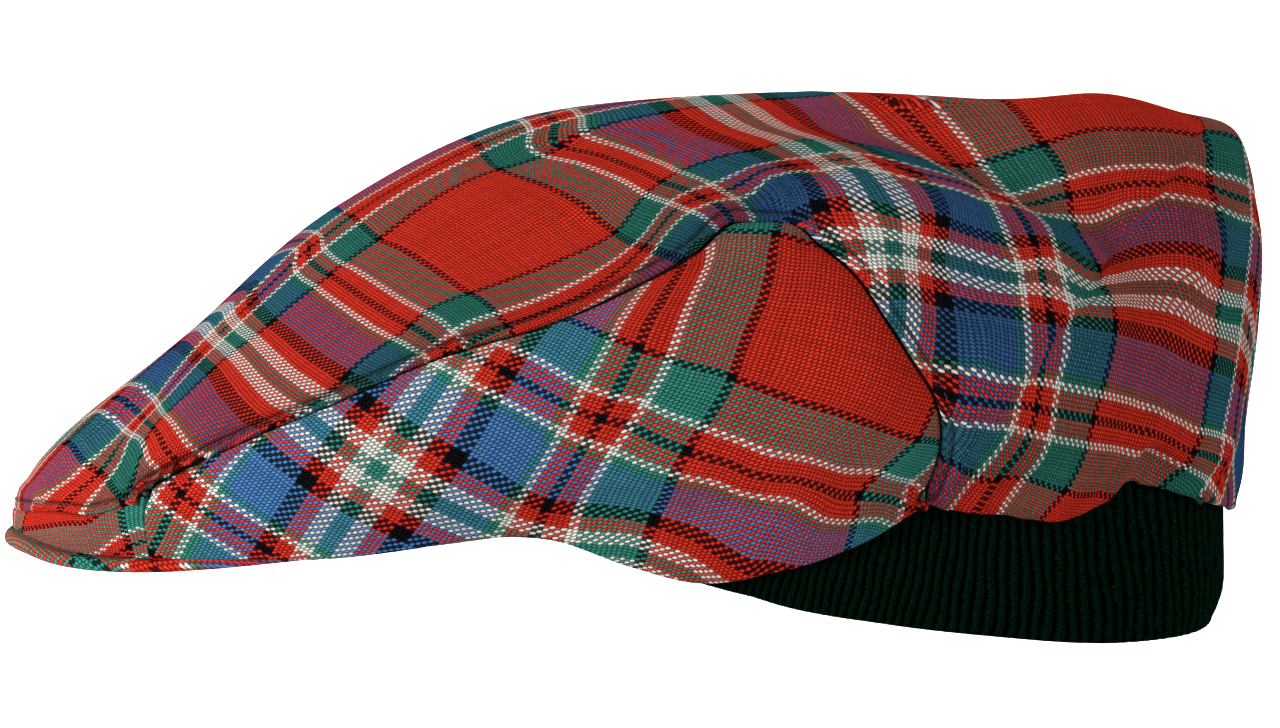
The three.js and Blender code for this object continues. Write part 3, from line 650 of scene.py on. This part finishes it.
# The band over the visor: its own cut of the tartan, with a black line that runs slantwise over it
band = {"uAtMiddle": 51.8, "threadWidth": 0.935, "threadHeight": 0.52, "v": 22,
        "along": [-76, 0, 31, 36, 51, 60, 65.5, 71.5, 76],
        "blackLine": [-17, -3, 2.2, 3, 5.8, 7.3, 10.6, 13.4, 15]}


def makeBand():
    points = crownCloth(frontBandGrid(bandFine))
    along = pathLengths(points[:, 0])
    along = (along - along[len(along) // 2])[:, None]
    up = pathLengths(points, 1)
    u = band["uAtMiddle"] - (along + 0 * up) / band["threadWidth"]
    v = band["v"] + (curveAt(band["along"], band["blackLine"], along) - up) / band["threadHeight"]
    sheet = clothObject("frontBand", *rolledPanel(points, np.stack([u, v], -1)))
    return finishCloth(sheet, panels["cloth"])


frontBand = makeBand()
print("front band made")

# Visor: a stiff plate covered in the same cloth, its edge rounded over
visor = {"endAzimuth": 67, "tipHeight": -8.4, "rise": 0.098, "droop": 0.00133, "thickness": 3.2,
         "edge": 1.9, "front": 101, "halfWidth": 77, "turn": 63, "u": 10, "v": 44, "columns": 140,
         "rows": 26, "rim": 10}
visorOverhang = {"azimuth": [0, 44, 55, 75], "out": [2, 1.2, -3.4, -3.6]}
visorLift = {"azimuth": [0, 12, 20, 25, 30, 35, 40, 60, 67],
             "up": [1.5, 2.1, 2.7, 2.6, 1.8, 1.2, 0.9, 0.7, 0],
             "endAzimuth": [0, 53, 60, 64, 67], "endUp": [0, 0, 1.2, 2.4, 3.6]}


def makeVisor():
    azimuth = np.linspace(-1, 1, visor["columns"] + 1) * visor["endAzimuth"]
    angle, way = np.radians(azimuth), np.abs(azimuth)
    rim = ringPlan(0, azimuth)
    size = np.linalg.norm(rim, axis=-1)
    out = curveAt(visorOverhang["azimuth"], visorOverhang["out"], way)
    outer = rim * ((size + out) / size)[:, None]
    inner = np.stack([visor["halfWidth"] * np.sin(angle), -visor["front"] * np.cos(angle)], -1)
    thick = (visor["edge"] + (visor["thickness"] - visor["edge"]) * np.cos(angle)**2)[:, None]
    aim = unit(outer - inner)
    plan = between(inner, outer - aim * thick / 2, visor["rows"])
    share = np.linspace(0, 1, visor["rows"] + 1)
    height = (visor["tipHeight"] + visor["rise"] * (plan[..., 1] + crownRings["front"][0])
              - visor["droop"] * plan[..., 0]**2
              + curveAt(visorLift["azimuth"], visorLift["up"], way)[:, None] * share**2
              + curveAt(visorLift["endAzimuth"], visorLift["endUp"], way)[:, None])
    top = np.concatenate([plan, height[..., None]], -1)
    half = thick[..., None] / 2
    up = np.array([0, 0, 1])
    turn = np.radians(np.linspace(0, 180, visor["rim"] + 1)[1:-1])[None, :, None]
    swing = np.sin(turn) * np.concatenate([aim, 0 * thick], -1)[:, None] + np.cos(turn) * up
    rounded = (top[:, -1:] - half * up) + swing * half
    points = np.concatenate([top, rounded, top[:, ::-1] - 2 * half * up], 1)
    # the cover's cloth before it is wrapped
    laid = inner[:, None] + aim[:, None] * pathLengths(points, 1)[..., None]
    turned = math.radians(visor["turn"])
    c, s = math.cos(turned), math.sin(turned)
    threads = laid @ np.array([[c, s], [-s, c]]) / threadPitch + [visor["u"], visor["v"]]
    return turnOutwards(clothObject("visorCover", points, threads, closed=True, caps=(0, 1)))


visorCover = makeVisor()
print("visor made")

# Knitted flap: ribs that fan and wander, with a rounded hem that curls in at the back
knit = {"thickness": 3.2, "wander": 0.08, "depth": 0.8, "top": 14, "start": 76, "inset": 3.1,
        "curlFront": 1.2, "curl": 4.5, "curlHeight": 10, "curlFrom": 150, "levels": 22,
        "hemRadius": 1.6, "hemSteps": 8, "wave": 0.5, "waveTurn": 7.3, "waveTop": 8, "waveFade": 30,
        "innerShare": 0.7, "leanFrom": -15, "stitch": 2}
ribTable = {"azimuth": [70, 92, 104, 116, 130, 150, 180],
            "pitch": [1.8, 1.9, 2.1, 2.5, 3.1, 3.9, 4.2],
            "lean": [-0.08, -0.11, -0.1, -0.03, 0.035, 0.045, 0]}
knitHem = {"azimuth": [70, 76, 81, 86, 92, 106, 120, 131, 150, 165, 174, 180],
           "height": [-1, -3.6, -8.9, -13.6, -17.5, -22.3, -25.5, -27.5, -28.4, -27.9, -27.3, -27.2]}


def makeKnit():
    fine = np.linspace(knit["start"], 360 - knit["start"], 1441)
    along = pathLengths(ringPlan(0, fine))
    pitch = curveAt(ribTable["azimuth"], ribTable["pitch"], 180 - np.abs(180 - fine))
    count = np.append(0, np.cumsum(np.diff(along) * 2 / (pitch[1:] + pitch[:-1])))
    ribs = round(count[-1])
    place = np.linspace(0, ribs, ribs * 8 + 1)
    azimuth = np.interp(place, count / count[-1] * ribs, fine)
    half = 180 - np.abs(180 - azimuth)
    rim = ringPlan(0, azimuth)
    low = curveAt(knitHem["azimuth"], knitHem["height"], half)[:, None]
    lean = (curveAt(ribTable["azimuth"], ribTable["lean"], half) * np.sign(180 - azimuth))[:, None]
    back = np.clip((half - knit["curlFrom"]) / (180 - knit["curlFrom"]), 0, 1)
    curl = knit["curlFront"] + (knit["curl"] - knit["curlFront"]) * back * back * (3 - 2 * back)
    place, azimuth = place[:, None], azimuth[:, None]

    def insetAt(z):
        s = np.clip((low + knit["curlHeight"] - z) / knit["curlHeight"], 0, 1)
        fade = np.clip((knit["waveTop"] - z) / knit["waveFade"], 0, 1)
        wave = knit["wave"] * np.sin(azimuth / knit["waveTurn"]) * fade
        return knit["inset"] + curl[:, None] * s**2 + wave

    def ribAt(z):  # ribs passed at a height, which leans and wanders them
        wander = np.sin(azimuth * 0.9 + z * 0.4) + np.sin(azimuth * 0.37 - z * 0.23)
        return place + lean * (z - knit["leanFrom"]) + knit["wander"] * wander

    def wale(z):
        return 0.5 * knit["depth"] * (np.cos(2 * np.pi * ribAt(z)) - 1)

    bottom = low + knit["hemRadius"]
    z = bottom + (knit["top"] - bottom) * np.linspace(1, 0, knit["levels"])
    turn = np.radians(np.linspace(0, 180, knit["hemSteps"] + 1)[1:-1])
    edgeZ = bottom - np.sin(turn) * knit["hemRadius"]
    halfThick = knit["thickness"] / 2
    edge = insetAt(bottom) + halfThick * (1 - np.cos(turn)) - wale(edgeZ) * np.cos(turn / 2)**2
    inner = insetAt(z) + knit["thickness"] + knit["innerShare"] * wale(z)
    depth = np.concatenate([insetAt(z) - wale(z), edge, inner[:, ::-1]], 1)
    height = np.concatenate([z, edgeZ, z[:, ::-1]], 1)
    plan = rim[:, None] - unit(rim)[:, None] * depth[..., None]
    points = np.concatenate([plan, height[..., None]], -1)
    stitches = np.stack([ribAt(height), -pathLengths(points, 1) / knit["stitch"]], -1)
    return turnOutwards(clothObject("knitFlap", points, stitches, closed=True, caps=(0, 1)))


knitFlap = makeKnit()
print("knitted flap made")

# Lining inside the crown
lining = {"depth": 2.9, "cloth": 0.5, "lowest": 0.05, "highest": 0.985, "pole": 0.994, "follow": 0.3,
          "columns": 180, "rows": 60}


def makeLining():  # follows the crown's hollows, and only a third of its swellings
    azimuth = np.linspace(0, 360, lining["columns"] + 1)[:-1]
    level = np.linspace(lining["lowest"], lining["highest"], lining["rows"])
    level = np.append(level, lining["pole"])[:, None]
    place = discPoint(azimuth + 0 * level, level + 0 * azimuth)
    lift = clothLift(place)
    inside = np.minimum(lift, lining["follow"] * lift) - lining["depth"]
    points = smoothCrown(place) + outwardAt(smoothCrown, place) * inside[..., None]
    sheet = clothObject("lining", points, points[..., :2], closed=True, caps=(1,))
    return finishCloth(sheet, lining["cloth"])


liningShell = makeLining()
print("lining made")


# Materials
def colour(code):  # sRGB hex to linear
    parts = [int(code[i:i + 2], 16) / 255 for i in (1, 3, 5)]
    return tuple(c / 12.92 if c <= 0.04045 else ((c + 0.055) / 1.055)**2.4 for c in parts) + (1,)


def node(tree, kind, links=None, **settings):
    made = tree.nodes.new(kind)
    for name, value in settings.items():
        setattr(made, name, value)
    for socket, source in (links or {}).items():
        if isinstance(source, bpy.types.NodeSocket):
            tree.links.new(source, made.inputs[socket])
        else:
            made.inputs[socket].default_value = source
    return made


def maths(tree, operation, a, b=0.0, c=0.0):
    return node(tree, "ShaderNodeMath", {0: a, 1: b, 2: c}, operation=operation).outputs[0]


def times(tree, a, b):
    return maths(tree, "MULTIPLY", a, b)


def timesPlus(tree, a, b, c):
    return maths(tree, "MULTIPLY_ADD", a, b, c)


def mixed(tree, share, first, second):
    return node(tree, "ShaderNodeMix", {0: share, 6: first, 7: second}, data_type="RGBA").outputs[2]


def either(tree, share, first, second):
    return node(tree, "ShaderNodeMix", {0: share, 2: first, 3: second}).outputs[0]


def noise(tree, spots, scale, detail, roughness=0.5, output=0):
    return node(tree, "ShaderNodeTexNoise", {"Vector": spots, "Scale": scale, "Detail": detail,
                                             "Roughness": roughness}).outputs[output]


def threadPlace(tree):
    return node(tree, "ShaderNodeUVMap", uv_map="threads").outputs[0]


def wandered(tree, spots, drift, amount):  # both counts of a thread place, moved about by drift
    centred = node(tree, "ShaderNodeVectorMath", {0: drift, 1: (0.5, 0.5, 0.5)}, operation="SUBTRACT")
    moved = node(tree, "ShaderNodeVectorMath", {0: centred.outputs[0], 1: amount, 2: spots},
                 operation="MULTIPLY_ADD")
    split = node(tree, "ShaderNodeSeparateXYZ", {0: moved.outputs[0]})
    return split.outputs[0], split.outputs[1]


def startMaterial(name, roughness, specular=0.5):
    made = bpy.data.materials.new(name)
    made.use_nodes = True
    tree = made.node_tree
    tree.nodes.clear()
    shader = node(tree, "ShaderNodeBsdfPrincipled",
                  {"Roughness": roughness, "Specular IOR Level": specular})
    node(tree, "ShaderNodeOutputMaterial", {"Surface": shader.outputs[0]})
    return made, tree, shader


def coat(tree, shader, base, height, strength, relief):  # relief in millimetres
    bump = node(tree, "ShaderNodeBump", {"Strength": strength, "Distance": relief / 1000,
                                         "Height": height})
    tree.links.new(base, shader.inputs["Base Color"])
    tree.links.new(bump.outputs[0], shader.inputs["Normal"])


# Plain-woven wool tartan: matt, each thread a twisted oval bead standing over gaps, with painted shade
# darkening each bead towards its edges and into the gaps
tartan = {
    "red": "#d73526", "green": "#3a8c7c", "blue": "#4a7cb6", "black": "#131317", "cream": "#e2e0d6",
    "sett": [(0, "red"), (21, "black"), (23, "green"), (35, "cream"), (37, "red"), (41, "black"),
             (43, "red"), (47, "cream"), (49, "green"), (51, "blue"), (63, "black"), (67, "red"),
             (71, "cream"), (75, "green")],
    "pivot": 77, "wobble": 0.4, "relief": 0.25, "gapShade": 0.1, "twist": 0.5, "roughness": 1.0,
    "threadTone": 0.3, "fuzz": 0.6, "bleed": 0.05, "wide": 3.3, "long": 2.3,
    "dentWidth": 0.45, "dentShade": 0.6, "dentDepth": 1.5,
}
shadedTopYarns = {"green": "#2e7365", "blue": "#345a88"}  # painted shade: darker copies of the green and blue for the crown, where less light falls


def settColour(tree, count, yarns):
    place = maths(tree, "PINGPONG", maths(tree, "ADD", count, 0.5), tartan["pivot"])
    ramp = node(tree, "ShaderNodeValToRGB", {"Fac": maths(tree, "DIVIDE", place, tartan["pivot"])})
    ramp.color_ramp.interpolation = "CONSTANT"
    stops = ramp.color_ramp.elements
    while len(stops) < len(tartan["sett"]):
        stops.new(0.99)
    for stop, (start, name) in zip(stops, tartan["sett"]):
        stop.position = start / tartan["pivot"]
        stop.color = colour(yarns[name])
    return ramp.outputs[0]


def bead(tree, across, along):  # height of a thread where it passes over, 1 in its middle
    leaning = timesPlus(tree, along, tartan["twist"], across)
    wide = maths(tree, "COSINE", times(tree, leaning, tartan["wide"]))
    long = maths(tree, "COSINE", times(tree, along, tartan["long"]))
    return maths(tree, "MAXIMUM", times(tree, wide, long), 0.0)


def threadTone(tree, count, seed):  # each thread a little lighter or darker than the next
    spot = node(tree, "ShaderNodeCombineXYZ", {0: count, 1: seed})
    speck = node(tree, "ShaderNodeTexWhiteNoise", {0: spot.outputs[0]}).outputs[0]
    return timesPlus(tree, speck, tartan["threadTone"], 1 - tartan["threadTone"] / 2)


def tartanWool(name, yarns):
    made, tree, shader = startMaterial(name, tartan["roughness"], 0.0)
    threads = threadPlace(tree)
    drift = noise(tree, threads, 0.22, 1.0, output="Color")
    u, v = wandered(tree, threads, drift, (tartan["wobble"],) * 3)
    countU, countV = maths(tree, "FLOOR", u), maths(tree, "FLOOR", v)
    offU, offV = (maths(tree, "SUBTRACT", maths(tree, "FRACT", n), 0.5) for n in (u, v))
    over = maths(tree, "PINGPONG", maths(tree, "ADD", countU, countV), 1)
    mostly = timesPlus(tree, over, 1 - 2 * tartan["bleed"], tartan["bleed"])
    both = mixed(tree, mostly, settColour(tree, countU, yarns), settColour(tree, countV, yarns))
    height = either(tree, over, bead(tree, offU, offV), bead(tree, offV, offU))
    tone = either(tree, over, threadTone(tree, countU, 1.0), threadTone(tree, countV, 2.0))
    rough = timesPlus(tree, noise(tree, threads, 2.6, 3.0), tartan["fuzz"] * 2, 1 - tartan["fuzz"])
    # painted shade and highlight: each bead brightest in its middle and darkened into the gaps between
    # threads
    shade = timesPlus(tree, height, 1 - tartan["gapShade"], tartan["gapShade"])
    shade = times(tree, times(tree, shade, tone), rough)
    # painted shade: the cloth darkened along the sunken stitch groove beside each seam, which the bump
    # also sinks
    seam = node(tree, "ShaderNodeAttribute", attribute_name="fromSeam").outputs["Fac"]
    off = maths(tree, "DIVIDE", maths(tree, "SUBTRACT", seam, stitching["offset"]), tartan["dentWidth"])
    dent = maths(tree, "EXPONENT", times(tree, times(tree, off, off), -1))
    shade = times(tree, shade, timesPlus(tree, dent, -tartan["dentShade"], 1.0))
    toned = node(tree, "ShaderNodeVectorMath", {0: both, "Scale": shade}, operation="SCALE").outputs[0]
    coat(tree, shader, toned, timesPlus(tree, dent, -tartan["dentDepth"], height), 0.6,
         tartan["relief"])
    return made


# Rib-knitted wool: near black, with fuzzy wandering ribs that go from green crests to painted black
# shade in the gaps
# deep is the painted shade colour in the gaps between ribs and stitch rows
ribKnit = {"colour": "#08281b", "deep": "#000100", "roughness": 1.0, "relief": 0.6,
           "wander": (0.9, 0.4, 0), "pair": 0.35, "lean": 7.0, "stitchRows": 3.4, "rowDepth": 0.22,
           "fuzz": 2.2}


def ribKnitWool(name):
    made, tree, shader = startMaterial(name, ribKnit["roughness"], 0.0)
    stitches = threadPlace(tree)
    drift = noise(tree, stitches, 1.1, 4.0, 0.75, output="Color")
    across, along = wandered(tree, stitches, drift, ribKnit["wander"])
    ridge = timesPlus(tree, maths(tree, "COSINE", times(tree, across, 2 * math.pi)), 0.5, 0.5)
    twin = maths(tree, "COSINE", times(tree, across, 4 * math.pi))
    pair = timesPlus(tree, twin, -ribKnit["pair"], 1 - ribKnit["pair"])
    lean = times(tree, maths(tree, "PINGPONG", across, 0.5), ribKnit["lean"])
    rows = maths(tree, "SINE", timesPlus(tree, along, ribKnit["stitchRows"] * 2 * math.pi, lean))
    rows = timesPlus(tree, rows, ribKnit["rowDepth"], 1 - ribKnit["rowDepth"])
    rough = timesPlus(tree, noise(tree, stitches, 5.0, 4.0), ribKnit["fuzz"] * 2, 1 - ribKnit["fuzz"])
    height = times(tree, times(tree, times(tree, ridge, pair), rows), rough)
    height = maths(tree, "MINIMUM", height, 1.0)
    # painted shade: the gaps between ribs and stitch rows mixed towards near black
    both = mixed(tree, height, colour(ribKnit["deep"]), colour(ribKnit["colour"]))
    coat(tree, shader, both, height, 0.7, ribKnit["relief"])
    return made


# Spun polyester sewing thread: fine, dark, with a faint lustre
sewing = {"colour": "#2a1a18", "deep": "#080607", "roughness": 0.6, "twists": 3500.0}


def sewingThread(name):
    made, tree, shader = startMaterial(name, sewing["roughness"])
    spots = node(tree, "ShaderNodeTexCoord").outputs["Object"]
    twist = noise(tree, spots, sewing["twists"], 2.0)
    base = mixed(tree, twist, colour(sewing["deep"]), colour(sewing["colour"]))
    tree.links.new(base, shader.inputs["Base Color"])
    return made


# Twill lining: dark, fine diagonal lines
twill = {"colour": "#1b1c20", "deep": "#141519", "roughness": 0.6, "relief": 0.2}


def twillLining(name):
    made, tree, shader = startMaterial(name, twill["roughness"])
    lines = node(tree, "ShaderNodeTexWave", {"Vector": threadPlace(tree), "Scale": 0.6,
                                             "Distortion": 0.4}, bands_direction="DIAGONAL").outputs[0]
    coat(tree, shader, mixed(tree, lines, colour(twill["deep"]), colour(twill["colour"])), lines, 0.3,
         twill["relief"])
    return made


sideWool = tartanWool("tartanWoolSides", tartan)
# the top panel's copy of the tartan, with its green and blue darkened as painted shade
shadedTopWool = tartanWool("tartanWoolTopShaded", {**tartan, **shadedTopYarns})
for piece, cloth in ((topPanel, shadedTopWool), (frontBand, sideWool), (visorCover, sideWool),
                     (sidePanelLeft, sideWool), (sidePanelRight, sideWool),
                     (knitFlap, ribKnitWool("ribKnitWool")),
                     (liningShell, twillLining("twillLining")),
                     (seamStitches, sewingThread("sewingThread"))):
    piece.data.materials.append(cloth)
print("materials made")

# Pieces and what they stand for
for piece, cadNode in ((topPanel, "top_panel"), (sidePanelLeft, "side_panel_left"),
                       (sidePanelRight, "side_panel_right"), (frontBand, "front_band"),
                       (visorCover, "visor"), (knitFlap, "knit_band")):
    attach(piece, "root")
    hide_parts(cadNode)
for piece in (liningShell, seamStitches):
    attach(piece, "root")

# Stage, in metres: pale floor and backdrop, soft studio light, camera at the cap's side
stage = {"floor": "#f6f5f3", "drop": -0.115, "back": 1.2, "bend": 0.6, "top": 3.0, "front": -3.0,
         "side": 4, "world": 0.03}
lamps = {  # degrees from the camera's side to the visor's, degrees up, and watts
    "frontLeft": (50, 8, 20), "overShoulder": (-50, 22, 11), "front": (85, 8, 16)}
softbox = {"distance": 1.6, "size": 0.55, "aim": (0, 0, 0.03)}
camera = {"azimuth": 90, "elevation": 2.5, "distance": 1.0976, "aim": (0, -0.0231, 0.02825), "lens": 140,
          "sensor": 36}


def makeFloor():
    profile = [(stage["front"], 0.0), (stage["back"], 0.0)]
    for angle in np.radians(np.arange(10, 91, 10)):
        profile.append((stage["back"] + stage["bend"] * math.sin(angle),
                        stage["bend"] - stage["bend"] * math.cos(angle)))
    profile.append((stage["back"] + stage["bend"], stage["top"]))
    vertices = [(-x, y, z + stage["drop"]) for x, z in profile for y in (-stage["side"], stage["side"])]
    faces = [(2 * n, 2 * n + 1, 2 * n + 3, 2 * n + 2) for n in range(len(profile) - 1)]
    mesh = bpy.data.meshes.new("floor")
    mesh.from_pydata(vertices, [], faces)
    mesh.polygons.foreach_set("use_smooth", [True] * len(faces))
    floor = linked("floor", mesh)
    made, _, shader = startMaterial("palePaper", 0.9)
    shader.inputs["Base Color"].default_value = colour(stage["floor"])
    mesh.materials.append(made)


def aimed(name, data, place, way):
    made = linked(name, data)
    made.location = place
    made.rotation_euler = way.to_track_quat("-Z", "Y").to_euler()
    return made


def makeAreaLight(name, place, aim, size, power):
    data = bpy.data.lights.new(name, "AREA")
    data.shape = "RECTANGLE"
    data.size, data.size_y = size
    data.energy = power
    aimed(name, data, place, Vector(aim) - Vector(place))
    return data


def makeCamera():
    data = bpy.data.cameras.new("camera")
    data.lens, data.sensor_width = camera["lens"], camera["sensor"]
    rise, turn = math.radians(camera["elevation"]), math.radians(camera["azimuth"])
    back = Vector((math.sin(turn) * math.cos(rise), -math.cos(turn) * math.cos(rise), math.sin(rise)))
    place = Vector(camera["aim"]) + back * camera["distance"]
    bpy.context.scene.camera = aimed("camera", data, place, -back)


makeFloor()
world = bpy.data.worlds.new("studio")
bpy.context.scene.world = world
world.use_nodes = True
world.node_tree.nodes["Background"].inputs[0].default_value = (1, 1, 1, 1)
world.node_tree.nodes["Background"].inputs[1].default_value = stage["world"]
for lampName, (turned, raised, watts) in lamps.items():
    turn, rise = math.radians(turned), math.radians(raised)
    toLamp = Vector((math.cos(turn) * math.cos(rise), -math.sin(turn) * math.cos(rise), math.sin(rise)))
    makeAreaLight(lampName, toLamp * softbox["distance"] + Vector(softbox["aim"]), softbox["aim"],
                  (softbox["size"],) * 2, watts)
ground = makeAreaLight("ground", (-1.15, 0, 1.3), (-1.15, 0, 0), (1.8, 1.1), 22)
ground.spread = math.radians(60)  # it lights only the paper behind the cap
makeCamera()
bpy.context.scene.view_settings.view_transform = "Standard"
print("stage made")
